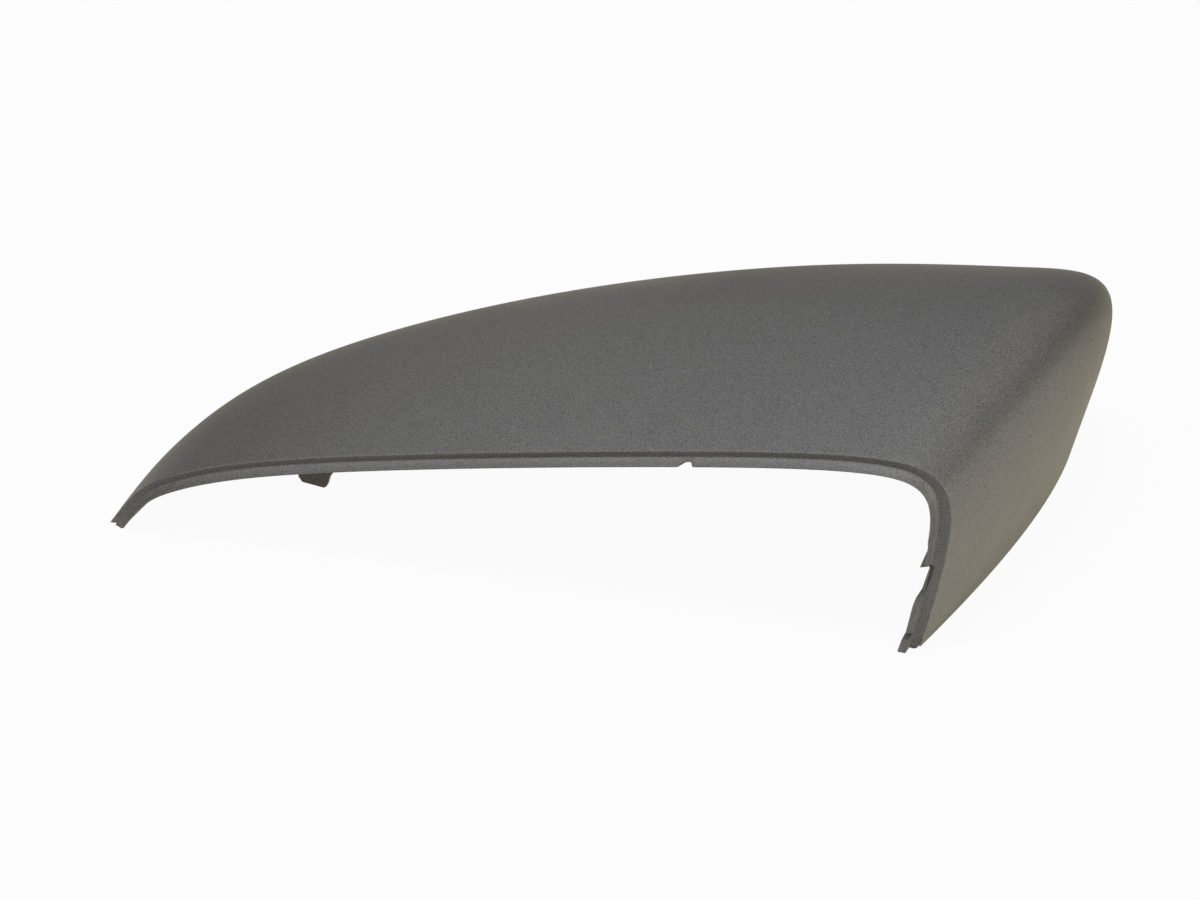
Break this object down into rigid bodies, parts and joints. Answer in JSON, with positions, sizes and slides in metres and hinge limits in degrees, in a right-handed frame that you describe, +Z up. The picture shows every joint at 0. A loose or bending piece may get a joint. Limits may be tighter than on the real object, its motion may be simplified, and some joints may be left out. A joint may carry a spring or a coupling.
{
  "type": "wing mirror cover",
  "caption": "Upper cover of a right-hand wing mirror: a thin curved shell, open to the rear and below, with a stepped lap flange round its rear rim.",
  "frame": {"origin": "middle of the bounding box's base, on the surface the cover stands on", "axes": "+X outboard, away from the car; +Y forwards, in the direction of travel; +Z up"},
  "size_m": [0.2422, 0.128, 0.0634],
  "materials": {
    "primed_plastic": "matt grey primer outside and on the flange, bare black plastic inside"
  },
  "bodies": {
    "root": {"mirror_cover": "primed_plastic"}
  },
  "joints": []
}
